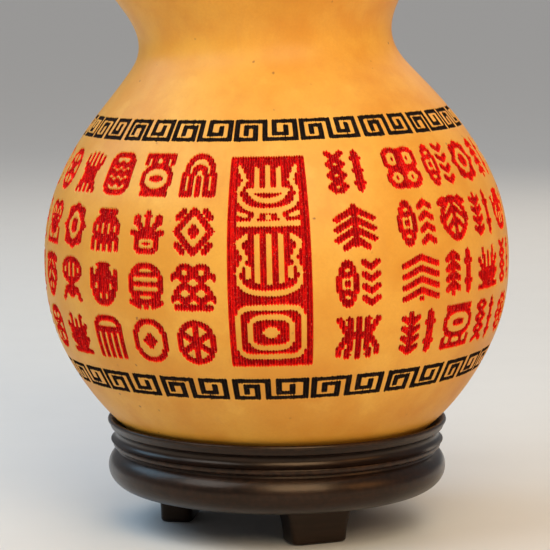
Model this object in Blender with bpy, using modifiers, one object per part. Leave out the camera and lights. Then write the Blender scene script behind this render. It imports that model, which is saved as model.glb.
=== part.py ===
"""A dried bottle gourd seated in a turned wooden dish on three glued feet.

The row frame is in metres with +Z up. The origin is on the floor, under the
middle of the gourd's belly. The front of the object looks along -Y.
Every named size below is in millimetres and becomes metres through MM.
"""

import math

import bmesh
import bpy
from mathutils import Matrix, Vector

MM = 0.001

# The gourd, measured along its own axis from the floor.
BELLY_HEIGHT = 62.5
GOURD_LEAN = math.radians(-1.6)
UPPER_BULB_SHIFT = -3.2
SHIFT_START = 100.0
SHIFT_END = 134.0
STALK_START = 192.0
STALK_BEND = 0.0099
STALK_SIDE_BEND = -0.0035

# Radius and height of the gourd's outline, from the stalk's cut end down to the
# blossom scar. A smooth curve runs through them.
GOURD_OUTLINE = (
    (0.0, 222.0),
    (2.7, 221.3),
    (3.1, 218.5),
    (2.6, 210.0),
    (3.4, 199.5),
    (6.2, 194.6),
    (16.0, 188.9),
    (30.5, 177.8),
    (38.8, 164.5),
    (41.0, 150.0),
    (38.7, 136.5),
    (33.0, 124.4),
    (30.5, 119.6),
    (29.7, 115.5),
    (30.5, 111.9),
    (33.4, 107.7),
    (41.4, 98.4),
    (48.0, 89.0),
    (53.2, 77.2),
    (55.0, BELLY_HEIGHT),
    (53.4, 50.0),
    (47.6, 37.3),
    (40.4, 28.0),
    (31.5, 20.4),
    (20.0, 14.7),
    (8.5, 12.5),
    (0.0, 13.0),
)
GOURD_POINTS_PER_SPAN = 2
GOURD_STEPS = 56

# The dish that the gourd sits in.
SEAT_CLEARANCE = 0.6
SEAT_TOP_RADIUS = 38.2
LIP_CENTRE = (39.9, 25.2)
LIP_ROUNDING = 0.55
COVE = ((39.6, 23.8), (38.8, 22.5), (38.4, 21.2))
BEAD_CENTRE = (38.2, 19.7)
BEAD_RADIUS = 0.95
GROOVE = (38.1, 18.4)
BULGE_CENTRE = (34.8, 14.2)
BULGE_WIDTH = 5.4
BULGE_HEIGHT = 4.9
DISH_UNDERSIDE = 9.0
DISH_STEPS = 56

# The three feet, each a tapered block glued under the dish.
FOOT_ANGLES = {"foot_front": 21.7, "foot_left": -98.3, "foot_back": 141.7}
FOOT_OUTER_RADIUS = 28.0
FOOT_DEPTH = 9.0
FOOT_TOP_WIDTH = 17.0
FOOT_BOTTOM_WIDTH = 13.4
FOOT_BOTTOM_INSET = 0.6
FOOT_EDGE = 0.9
GLUE_GAP = 0.3

COLLECTION = "bottle_gourd_on_stand"


def clear_scene():
    """Removes every object of the scene that the script starts in."""
    for obj in list(bpy.data.objects):
        bpy.data.objects.remove(obj)


def make_material(name, colour, roughness):
    """A plain Principled BSDF material."""
    material = bpy.data.materials.new(name)
    material.use_nodes = True
    shader = material.node_tree.nodes["Principled BSDF"]
    shader.inputs["Base Color"].default_value = (*colour, 1.0)
    shader.inputs["Roughness"].default_value = roughness
    shader.inputs["Metallic"].default_value = 0.0
    return material


def smooth_curve(points, per_span):
    """Points on a Catmull-Rom curve through an outline that starts and ends on the axis."""
    first = (-points[1][0], points[1][1])
    last = (-points[-2][0], points[-2][1])
    padded = [Vector(p) for p in (first, *points, last)]
    curve = []
    for i in range(1, len(padded) - 2):
        before, start, end, after = padded[i - 1 : i + 3]
        for step in range(per_span):
            t = step / per_span
            curve.append(
                0.5
                * (
                    2 * start
                    + (end - before) * t
                    + (2 * before - 5 * start + 4 * end - after) * t**2
                    + (3 * start - before - 3 * end + after) * t**3
                )
            )
    curve.append(padded[-2])
    return curve


def arc(centre, across, up, start, end, steps):
    """Points on an elliptical arc, its angles in degrees from straight outwards."""
    angles = [math.radians(start + (end - start) * i / steps) for i in range(steps + 1)]
    return [
        Vector((centre[0] + across * math.cos(a), centre[1] + up * math.sin(a)))
        for a in angles
    ]


def turned(name, profile, steps, material, collection):
    """A solid turned about Z from a profile in millimetres that runs down its outer side."""
    mesh = bpy.data.meshes.new(name + "_profile")
    points = [(p[0] * MM, 0.0, p[1] * MM) for p in profile]
    edges = [(i, i + 1) for i in range(len(points) - 1)]
    mesh.from_pydata(points, edges, [])
    obj = bpy.data.objects.new(name + "_profile", mesh)
    collection.objects.link(obj)
    screw = obj.modifiers.new("turn", "SCREW")
    screw.axis = "Z"
    screw.angle = math.tau
    screw.steps = steps
    screw.render_steps = steps
    screw.use_merge_vertices = True
    screw.merge_threshold = 0.00001
    graph = bpy.context.evaluated_depsgraph_get()
    solid_mesh = bpy.data.meshes.new_from_object(obj.evaluated_get(graph))
    bpy.data.objects.remove(obj)
    solid_mesh.name = name
    solid = bpy.data.objects.new(name, solid_mesh)
    solid_mesh.materials.append(material)
    solid_mesh.shade_smooth()
    solid_mesh.set_sharp_from_angle(angle=math.radians(40))
    collection.objects.link(solid)
    return solid


def smooth_step(value, start, end):
    """0 before start, 1 after end, and a smooth rise between them."""
    t = min(max((value - start) / (end - start), 0.0), 1.0)
    return t * t * (3 - 2 * t)


def axis_offset(height):
    """How far the gourd's own axis wanders sideways at a height, in millimetres."""
    rise = max(height - STALK_START, 0.0)
    across = UPPER_BULB_SHIFT * smooth_step(height, SHIFT_START, SHIFT_END)
    return across + STALK_BEND * rise**2, STALK_SIDE_BEND * rise**2


def make_gourd(material, collection):
    """The whole fruit in one piece: belly, waist, upper bulb and dried stalk."""
    outline = smooth_curve(GOURD_OUTLINE, GOURD_POINTS_PER_SPAN)
    gourd = turned("gourd", outline, GOURD_STEPS, material, collection)
    for vertex in gourd.data.vertices:
        across, along = axis_offset(vertex.co.z / MM)
        vertex.co.x += across * MM
        vertex.co.y += along * MM
    pivot = Vector((0.0, 0.0, BELLY_HEIGHT * MM))
    gourd.data.transform(Matrix.Translation(-pivot))
    gourd.location = pivot
    gourd.rotation_euler = (0.0, GOURD_LEAN, 0.0)
    return gourd


def seat_curve():
    """The dish's hollow: the gourd's outline moved outwards by the seat's clearance."""
    outline = smooth_curve(GOURD_OUTLINE, GOURD_POINTS_PER_SPAN)
    seat = []
    for before, point, after in zip(outline, outline[1:], outline[2:]):
        if point.x > SEAT_TOP_RADIUS or point.y > BELLY_HEIGHT:
            continue
        along = (after - before).normalized()
        outwards = Vector((-along.y, along.x))
        seat.append(point + outwards * SEAT_CLEARANCE)
    pole = Vector((0.0, outline[-1].y - SEAT_CLEARANCE))
    return [pole, *reversed(seat)]


def make_dish(material, collection):
    """The turned dish: a hollow seat, a flared lip, a cove, a bead and a round bulge."""
    profile = [
        *seat_curve(),
        *arc(LIP_CENTRE, LIP_ROUNDING, LIP_ROUNDING, 130, -40, 5),
        *[Vector(p) for p in COVE],
        *arc(BEAD_CENTRE, BEAD_RADIUS, BEAD_RADIUS, 70, -60, 5),
        Vector(GROOVE),
        *arc(BULGE_CENTRE, BULGE_WIDTH, BULGE_HEIGHT, 50, -78, 10),
        Vector((BULGE_CENTRE[0] - 1.0, DISH_UNDERSIDE)),
        Vector((0.0, DISH_UNDERSIDE)),
    ]
    return turned("stand_dish", profile, DISH_STEPS, material, collection)


def make_foot(name, angle, material, collection):
    """One tapered foot with rounded edges, its outer face square to the dish's radius."""
    height = DISH_UNDERSIDE - GLUE_GAP
    body = bmesh.new()
    bmesh.ops.create_cube(body, size=1.0)
    for vertex in body.verts:
        low = vertex.co.z < 0
        width = FOOT_BOTTOM_WIDTH if low else FOOT_TOP_WIDTH
        inset = FOOT_BOTTOM_INSET if low else 0.0
        outer = vertex.co.y < 0
        vertex.co.x *= width
        vertex.co.y = -FOOT_OUTER_RADIUS + (inset if outer else FOOT_DEPTH - inset)
        vertex.co.z = 0.0 if low else height
    bmesh.ops.scale(body, vec=(MM, MM, MM), verts=body.verts)
    mesh = bpy.data.meshes.new(name)
    body.to_mesh(mesh)
    body.free()
    foot = bpy.data.objects.new(name, mesh)
    foot.rotation_euler = (0.0, 0.0, math.radians(angle))
    mesh.materials.append(material)
    bevel = foot.modifiers.new("rounded_edges", "BEVEL")
    bevel.width = FOOT_EDGE * MM
    bevel.segments = 2
    bevel.limit_method = "ANGLE"
    collection.objects.link(foot)
    return foot


def main():
    """Builds the gourd, its dish and the three feet."""
    clear_scene()
    collection = bpy.data.collections.new(COLLECTION)
    bpy.context.scene.collection.children.link(collection)
    skin = make_material("gourd_skin", (0.80, 0.42, 0.09), 0.38)
    wood = make_material("dark_wood", (0.035, 0.018, 0.012), 0.32)
    make_gourd(skin, collection)
    make_dish(wood, collection)
    for name, angle in FOOT_ANGLES.items():
        make_foot(name, angle, wood, collection)


main()
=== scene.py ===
"""Looks of a carved bottle gourd that sits in a turned, lacquered dish on three feet.

The fruit is one body of skin with a shallow channel round its belly. The carved rings and the
framed panel are thin shells that fill that channel, so that each keeps a fine mesh of its own.
Lengths are in millimetres until a mesh is made. Azimuth 0 is the front and grows to the right.
"""

import logging
import math
from collections.abc import Sequence
from dataclasses import dataclass, field, replace
from enum import Enum

import bpy
import numpy as np
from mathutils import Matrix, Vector


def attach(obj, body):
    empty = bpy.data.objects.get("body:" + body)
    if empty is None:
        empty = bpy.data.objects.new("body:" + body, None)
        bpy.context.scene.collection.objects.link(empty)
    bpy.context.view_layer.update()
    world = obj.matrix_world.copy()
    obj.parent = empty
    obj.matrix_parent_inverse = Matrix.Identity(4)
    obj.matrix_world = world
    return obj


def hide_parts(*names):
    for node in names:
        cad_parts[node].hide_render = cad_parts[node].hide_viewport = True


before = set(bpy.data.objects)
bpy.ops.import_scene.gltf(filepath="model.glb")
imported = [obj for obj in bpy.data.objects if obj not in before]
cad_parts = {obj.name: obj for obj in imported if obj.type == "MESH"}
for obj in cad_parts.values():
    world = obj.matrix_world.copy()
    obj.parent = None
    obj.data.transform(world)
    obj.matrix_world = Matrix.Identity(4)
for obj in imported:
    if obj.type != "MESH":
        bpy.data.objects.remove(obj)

MM = 0.001
BODY = "root"
SKIN_SLOT = "gourd_skin"
WOOD_SLOT = "dark_wood"
FAR = 99.0  # further than any ornament reaches
TINY = 1e-6  # keeps a divisor off zero

Pair = tuple[float, float]
Colour = tuple[float, float, float]
Point = tuple[float, float, float]
Array = np.ndarray | float

log = logging.getLogger("bottle_gourd")


# ---------------------------------------------------------------- meshes


def grid_quads(
    rows: int, columns: int, first: int, wrap: bool, inward: bool = False
) -> np.ndarray:
    """Quads of a grid whose point (i, j) is number first + i * columns + j, row 0 on top.

    Args:
        rows: points down the grid.
        columns: points along the grid.
        first: number of the grid's first point.
        wrap: True if the last column joins the first one.
        inward: True to face the quads away from the side where j grows to the right.

    Returns:
        One row of four point numbers for each quad.
    """
    upper = np.arange(rows - 1)[:, None] * columns
    lower = upper + columns
    j = np.arange(columns if wrap else columns - 1)[None, :]
    right = (j + 1) % columns
    corners = (upper + j, lower + j, lower + right, upper + right)
    quads = first + np.stack(corners, axis=-1).reshape(-1, 4)
    return quads[:, ::-1] if inward else quads


def turned_faces(rows: int, columns: int) -> list[np.ndarray]:
    """Faces of a grid wrapped round an axis and closed by a fan of triangles at each pole.

    Args:
        rows: points down the grid.
        columns: points round it.

    Returns:
        Faces over the grid's points, then the upper pole's and then the lower pole's.
    """
    upper_pole = rows * columns
    j = np.arange(columns)
    right = (j + 1) % columns
    last = (rows - 1) * columns
    return [
        grid_quads(rows, columns, 0, wrap=True),
        np.stack([np.full(columns, upper_pole), j, right], axis=1),
        np.stack([np.full(columns, upper_pole + 1), last + right, last + j], axis=1),
    ]


def add_object(name: str, data: bpy.types.ID) -> bpy.types.Object:
    """A new object of the scene, at the origin.

    Args:
        name: the object's name.
        data: its mesh, lamp or camera.

    Returns:
        The object.
    """
    obj = bpy.data.objects.new(name, data)
    bpy.context.scene.collection.objects.link(obj)
    return obj


def make_piece(
    name: str,
    places: np.ndarray,
    faces: Sequence[np.ndarray],
    layers: dict[str, np.ndarray],
    crease: float = 50.0,
) -> bpy.types.Object:
    """A smooth-shaded mesh object at the origin, from whole arrays.

    Args:
        name: the piece's name.
        places: an array of points in millimetres.
        faces: arrays of point numbers, each with one face in a row.
        layers: a value for each point, by attribute name.
        crease: the angle in degrees past which an edge is sharp.

    Returns:
        The new object, linked to the scene.
    """
    mesh = bpy.data.meshes.new(name)
    mesh.vertices.add(len(places))
    mesh.vertices.foreach_set("co", (places * MM).astype(np.float32).ravel())
    corners = np.concatenate([f.ravel() for f in faces]).astype(np.int32)
    totals = np.concatenate([np.full(len(f), f.shape[1]) for f in faces])
    starts = np.concatenate(([0], np.cumsum(totals)[:-1])).astype(np.int32)
    mesh.loops.add(len(corners))
    mesh.loops.foreach_set("vertex_index", corners)
    mesh.polygons.add(len(totals))
    mesh.polygons.foreach_set("loop_start", starts)
    mesh.update(calc_edges=True)
    for layer, values in layers.items():
        attribute = mesh.attributes.new(layer, "FLOAT", "POINT")
        attribute.data.foreach_set("value", np.asarray(values, np.float32).ravel())
    mesh.shade_smooth()
    mesh.set_sharp_from_angle(angle=math.radians(crease))
    return add_object(name, mesh)


def dress(piece: bpy.types.Object, material: bpy.types.Material, slot: str, *nodes: str) -> None:
    """Gives a piece its material, hangs it on the body it rides on and hides the construction nodes
    that it stands for.

    Args:
        piece: the finished mesh object.
        material: its material.
        slot: the record's material slot; not used.
        nodes: the construction nodes that the piece stands for.
    """
    piece.data.materials.append(material)
    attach(piece, BODY)
    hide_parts(*nodes)
    triangles = sum(len(p.vertices) - 2 for p in piece.data.polygons)
    log.info("%s: %d triangles", piece.name, triangles)


def smooth_step(value: np.ndarray, start: float, end: float) -> np.ndarray:
    """0 before start, 1 after end, and 3t^2 - 2t^3 between them."""
    t = np.clip((value - start) / (end - start), 0.0, 1.0)
    return t * t * (3.0 - 2.0 * t)


def spline(points: np.ndarray, count: int, margin: int) -> np.ndarray:
    """A curve of continuous curvature through points.

    Between two points it is the cubic that meets both and whose second derivative runs straight
    from one point's value to the next one's; those values follow from one linear system.

    Args:
        points: the points, with margin extra ones at each end that only guide the curve.
        count: how many points to return.
        margin: how many spans to leave out at each end.

    Returns:
        Points at even steps of chord length.
    """
    reach = np.concatenate(([0.0], np.cumsum(np.hypot(*np.diff(points, axis=0).T))))
    step = np.diff(reach)
    size = len(points)
    inner = np.arange(1, size - 1)
    system = np.eye(size)
    system[inner, inner - 1] = step[:-1]
    system[inner, inner] = 2.0 * (step[:-1] + step[1:])
    system[inner, inner + 1] = step[1:]
    slope = np.diff(points, axis=0) / step[:, None]
    bend = np.linalg.solve(system, np.vstack([[0, 0], 6.0 * np.diff(slope, axis=0), [0, 0]]))
    at = np.linspace(reach[margin], reach[-1 - margin], count)
    k = np.clip(np.searchsorted(reach, at, side="right") - 1, 0, size - 2)
    b = ((at - reach[k]) / step[k])[:, None]
    a = 1.0 - b
    curve = a * points[k] + b * points[k + 1]
    return curve + ((a**3 - a) * bend[k] + (b**3 - b) * bend[k + 1]) * step[k, None] ** 2 / 6.0


# ---------------------------------------------------------------- the fruit's form


@dataclass
class GourdForm:
    """The fruit's shape: an outline turned about an axis that wanders, leans and is lumpy.

    A place on it is named by its azimuth and by the length along the outline from the belly's
    widest line, upwards positive. The outline's points give a radius and a height each. Each
    wave of the skin has a size, a number round the fruit, a phase and a turn per millimetre up.
    """

    outline: tuple[Pair, ...] = (
        (0.0, 222.0), (2.7, 221.3), (3.1, 218.5), (2.6, 210.0), (3.4, 199.5), (6.2, 194.6),
        (16.0, 188.9), (30.5, 177.8), (38.8, 164.5), (41.0, 150.0), (38.7, 136.5), (33.0, 124.4),
        (30.5, 119.6), (29.7, 115.5), (30.5, 111.9), (33.4, 107.7), (41.4, 98.4), (48.0, 89.0),
        (53.2, 77.2), (55.0, 62.5), (53.4, 50.0), (47.6, 37.3), (40.4, 28.0), (31.5, 20.4),
        (20.0, 14.7), (8.5, 12.5), (0.0, 13.0),
    )  # fmt: skip
    belly_height: float = 62.5
    lean: float = math.radians(-1.6)
    bulb_shift: float = -3.2
    shift_span: Pair = (100.0, 134.0)
    stalk_start: float = 192.0
    stalk_bend: float = 0.0099
    stalk_side_bend: float = -0.0035
    belly_waves: tuple[tuple[float, ...], ...] = (
        (0.16, 2, 0.8, 0.02), (0.10, 3, 2.1, -0.03), (0.05, 7, 0.0, 0.05),
    )  # fmt: skip
    neck_waves: tuple[tuple[float, ...], ...] = (
        (0.40, 3, 1.1, 0.03), (0.22, 5, 0.0, -0.05), (0.10, 9, 0.0, 0.09),
    )  # fmt: skip
    dish_span: Pair = (26.0, 44.0)
    waist_span: Pair = (100.0, 126.0)
    shoulder_span: Pair = (184.0, 191.0)
    cut_end_span: Pair = (219.0, 222.0)
    stalk_foot: float = 5.0
    rib_height: float = 0.62
    rib_sink: float = 0.70
    rib_twist: float = 0.035
    pucker_height: float = 0.16
    pucker_radius: float = 8.0
    pucker_width: float = 6.0
    pucker_span: Pair = (184.0, 190.0)
    least_radius: float = 0.02
    samples: int = 6000
    radii: np.ndarray = field(init=False)
    levels: np.ndarray = field(init=False)
    arcs: np.ndarray = field(init=False)

    def __post_init__(self) -> None:
        """Works out a fine table of the outline, from the blossom end up to the stalk's end."""
        points = np.array(self.outline[::-1])
        flip = np.array([-1.0, 1.0])
        guided = np.vstack([points[2:0:-1] * flip, points, points[-2:-4:-1] * flip])
        curve = spline(guided, self.samples, 2)
        self.radii, self.levels = np.maximum(curve[:, 0], 0.0), curve[:, 1]
        arcs = np.concatenate(([0.0], np.cumsum(np.hypot(*np.diff(curve, axis=0).T))))
        self.arcs = arcs - arcs[self.radii.argmax()]

    def arc_at(self, level: float) -> float:
        """Arc length at a height, for heights on the rising part of the outline."""
        low = self.levels.argmin()
        return float(np.interp(level, self.levels[low:], self.arcs[low:]))

    def profile(self, arc: np.ndarray) -> tuple[np.ndarray, np.ndarray, np.ndarray, np.ndarray]:
        """The outline at arc lengths; its outward direction is square to its own run.

        Args:
            arc: lengths along the outline.

        Returns:
            Radius, height, and the outward direction's parts across and up.
        """
        radius = np.interp(arc, self.arcs, self.radii)
        level = np.interp(arc, self.arcs, self.levels)
        across = np.interp(arc, self.arcs, np.gradient(self.levels, self.arcs))
        up = np.interp(arc, self.arcs, -np.gradient(self.radii, self.arcs))
        length = np.hypot(across, up)
        return radius, level, across / length, up / length

    def lumps(self, azimuth: np.ndarray, level: np.ndarray) -> np.ndarray:
        """How far the skin stands out: sums of sine waves round and up, and none in the dish.

        Args:
            azimuth: angles in radians.
            level: heights.

        Returns:
            Millimetres outwards.
        """
        belly, neck = (
            sum(size * np.sin(count * azimuth + phase + turn * level)
                for size, count, phase, turn in waves)
            for waves in (self.belly_waves, self.neck_waves)
        )  # fmt: skip
        free = smooth_step(level, *self.dish_span) * (1.0 - smooth_step(level, *self.shoulder_span))
        upper = smooth_step(level, *self.waist_span)
        return free * (belly * (1.0 - upper) + neck * upper)

    def creases(self, azimuth: np.ndarray, level: np.ndarray, radius: np.ndarray) -> np.ndarray:
        """Ribs of the dry stalk, and the puckered skin that runs from its foot and fades.

        The ribs are two sums of folded sine waves that twist against each other; the puckers are
        a sine wave of the azimuth under a bell curve of the radius.

        Args:
            azimuth: angles in radians.
            level: heights.
            radius: the outline's radii.

        Returns:
            Millimetres outwards.
        """
        twist = self.rib_twist * (level - self.stalk_start)
        rib = np.abs(np.sin(2.5 * azimuth + twist))
        rib = rib + 0.45 * np.abs(np.sin(4.0 * azimuth - twist + 0.6))
        on_stalk = smooth_step(level, self.stalk_start, self.stalk_start + self.stalk_foot)
        on_stalk = on_stalk * (1.0 - smooth_step(level, *self.cut_end_span))
        bell = np.exp(-(((radius - self.pucker_radius) / self.pucker_width) ** 2))
        pucker = np.sin(11 * azimuth + 1.4 * np.sin(3 * azimuth)) * bell
        pucker = pucker * smooth_step(level, *self.pucker_span) * (1.0 - on_stalk)
        return on_stalk * (self.rib_height * rib - self.rib_sink) + self.pucker_height * pucker

    def surface(self, azimuth: Array, arc: Array, sink: Array) -> np.ndarray:
        """Points of the fruit's skin.

        The outline's point is moved out by the lumps and in by sink along the outline's outward
        direction, turned to its azimuth, moved sideways with the wandering axis, and leaned about
        the belly's middle.

        Args:
            azimuth: angles in radians, of any shape.
            arc: lengths along the outline, of a shape that goes with azimuth.
            sink: how far below the skin, of a shape that goes with azimuth.

        Returns:
            The points, with x, y and z in the last axis.
        """
        azimuth, arc, sink = np.broadcast_arrays(azimuth, arc, sink)
        radius, level, across, up = self.profile(arc)
        rise = self.lumps(azimuth, level) + self.creases(azimuth, level, radius) - sink
        out = np.maximum(radius + across * rise, self.least_radius)
        height = level + up * rise - self.belly_height
        above = np.maximum(level - self.stalk_start, 0.0) ** 2
        x = out * np.sin(azimuth) + self.bulb_shift * smooth_step(level, *self.shift_span)
        x = x + self.stalk_bend * above
        y = -out * np.cos(azimuth) + self.stalk_side_bend * above
        cos, sin = math.cos(self.lean), math.sin(self.lean)
        z = self.belly_height - x * sin + height * cos
        return np.stack([x * cos + height * sin, y, z], axis=-1)


# ---------------------------------------------------------------- drawn ornaments


@dataclass(frozen=True)
class Sheet:
    """Where an ornament is drawn.

    It holds distances to the right of the ornament's middle and above it, half the width and half
    the height that its centre lines fill, and its line's width.
    """

    x: np.ndarray
    y: np.ndarray
    across: float
    up: float
    line: float

    @property
    def pen(self) -> float:
        """Half the line's width."""
        return self.line / 2

    @property
    def half(self) -> float:
        """The mean of half the width and half the height."""
        return (self.across + self.up) / 2

    @property
    def shares(self) -> tuple[np.ndarray, np.ndarray]:
        """The distances as shares of half the width and half the height."""
        return self.x / self.across, self.y / self.up

    def from_point(self, x: float, y: float) -> tuple[np.ndarray, np.ndarray]:
        """Distances to the right of a point of the unit box, and above it."""
        return self.x - x * self.across, self.y - y * self.up


@dataclass(frozen=True)
class Line:
    """A straight stroke between two points of the unit box, with round ends."""

    x0: float
    y0: float
    x1: float
    y1: float
    heavy: float = 1.0

    def reach(self, sheet: Sheet) -> np.ndarray:
        """Distance to the nearest point of the segment, less half the line's width.

        Args:
            sheet: where the ornament is drawn.

        Returns:
            Distances to the stroke, negative inside it.
        """
        dx, dy = sheet.from_point(self.x0, self.y0)
        run_x = self.x1 * sheet.across - self.x0 * sheet.across
        run_y = self.y1 * sheet.up - self.y0 * sheet.up
        t = np.clip((dx * run_x + dy * run_y) / max(run_x**2 + run_y**2, TINY), 0.0, 1.0)
        return np.hypot(dx - t * run_x, dy - t * run_y) - self.heavy * sheet.pen


@dataclass(frozen=True)
class Loop:
    """An oval: power 2 is an ellipse, 1 a lozenge, and higher powers a square, corners round.

    It is drawn between two angles in degrees, or filled where it is solid.
    """

    x: float
    y: float
    rx: float
    ry: float
    power: float = 2.0
    start: float = 0.0
    end: float = 360.0
    solid: bool = False

    def reach(self, sheet: Sheet) -> np.ndarray:
        """(k - 1) over the length of k's gradient, where k is the power mean of x/rx and y/ry.

        Args:
            sheet: where the ornament is drawn.

        Returns:
            Distances to the stroke, negative inside it.
        """
        rx, ry = self.rx * sheet.across, self.ry * sheet.up
        dx, dy = sheet.from_point(self.x, self.y)
        qx, qy = np.abs(dx) / rx + TINY, np.abs(dy) / ry + TINY
        k = (qx**self.power + qy**self.power) ** (1.0 / self.power)
        steep = self.power - 1.0
        away = (k - 1.0) / np.hypot((qx / k) ** steep / rx, (qy / k) ** steep / ry)
        if self.solid:
            return away
        turned = (np.degrees(np.arctan2(dy, dx)) - self.start) % 360.0
        return np.where(turned <= self.end - self.start, np.abs(away) - sheet.pen, FAR)


@dataclass(frozen=True)
class Petals:
    """A flower's outline: its radius is mean + swing * cos(count * angle)."""

    count: int
    mean: float
    swing: float

    def reach(self, sheet: Sheet) -> np.ndarray:
        """The gap in radius, shortened where the outline runs steeply, less half the line.

        Args:
            sheet: where the ornament is drawn.

        Returns:
            Distances to the stroke, negative inside it.
        """
        u, v = sheet.shares
        radius, angle = np.hypot(u, v) + TINY, np.arctan2(v, u) * self.count
        slope = self.swing * self.count * np.sin(angle) / np.maximum(radius, 0.6 * self.mean)
        gap = np.abs(radius - self.mean - self.swing * np.cos(angle)) / np.hypot(1.0, slope)
        return gap * sheet.half - sheet.pen


@dataclass(frozen=True)
class Wave:
    """A level wavy stroke, its crest in the middle."""

    y: float
    swing: float
    period: float
    limit: float

    def reach(self, sheet: Sheet) -> np.ndarray:
        """The gap in height to a cosine, shortened by its slope, less half the line's width.

        Args:
            sheet: where the ornament is drawn.

        Returns:
            Distances to the stroke, negative inside it.
        """
        x, above = sheet.from_point(0.0, self.y)
        rate = math.tau / (self.period * sheet.across)
        rise = self.swing * sheet.up
        slope = rise * rate * np.sin(rate * x)
        gap = np.abs(above - rise * np.cos(rate * x)) / np.hypot(1.0, slope)
        return np.where(np.abs(x) <= self.limit * sheet.across, gap - sheet.pen, FAR)


@dataclass(frozen=True)
class Whirl:
    """Curved rays: along each ray the angle falls evenly as the radius grows."""

    arms: int
    twist: float
    inner: float
    outer: float

    def reach(self, sheet: Sheet) -> np.ndarray:
        """The angle to the nearest ray, as a length, less half the line's width.

        Args:
            sheet: where the ornament is drawn.

        Returns:
            Distances to the stroke, negative inside it.
        """
        u, v = sheet.shares
        radius = np.hypot(u, v)
        turn = (self.arms * np.arctan2(v, u) + self.twist * radius + math.pi) % math.tau - math.pi
        gap = np.abs(turn) * radius / np.hypot(self.arms, self.twist * radius) * sheet.half
        inside = (radius >= self.inner) & (radius <= self.outer)
        return np.where(inside, gap - sheet.pen, FAR)


Stroke = Line | Loop | Petals | Wave | Whirl


def dot(x: float, y: float, rx: float, ry: float, power: float = 2.0) -> Loop:
    """A filled oval."""
    return Loop(x, y, rx, ry, power, solid=True)


def cup(x: float, y: float, rx: float, ry: float, power: float = 2.0) -> Loop:
    """The lower half of an oval."""
    return Loop(x, y, rx, ry, power, 180, 360)


def arch(x: float, y: float, rx: float, ry: float, power: float = 2.0) -> Loop:
    """The upper half of an oval."""
    return Loop(x, y, rx, ry, power, 0, 180)


def path(*points: Pair) -> list[Line]:
    """Straight strokes from point to point."""
    return [Line(*start, *end) for start, end in zip(points, points[1:])]


def strokes_cover(strokes: Sequence[Stroke], sheet: Sheet) -> np.ndarray:
    """True inside any stroke."""
    return np.logical_or.reduce([stroke.reach(sheet) < 0.0 for stroke in strokes])


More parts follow.
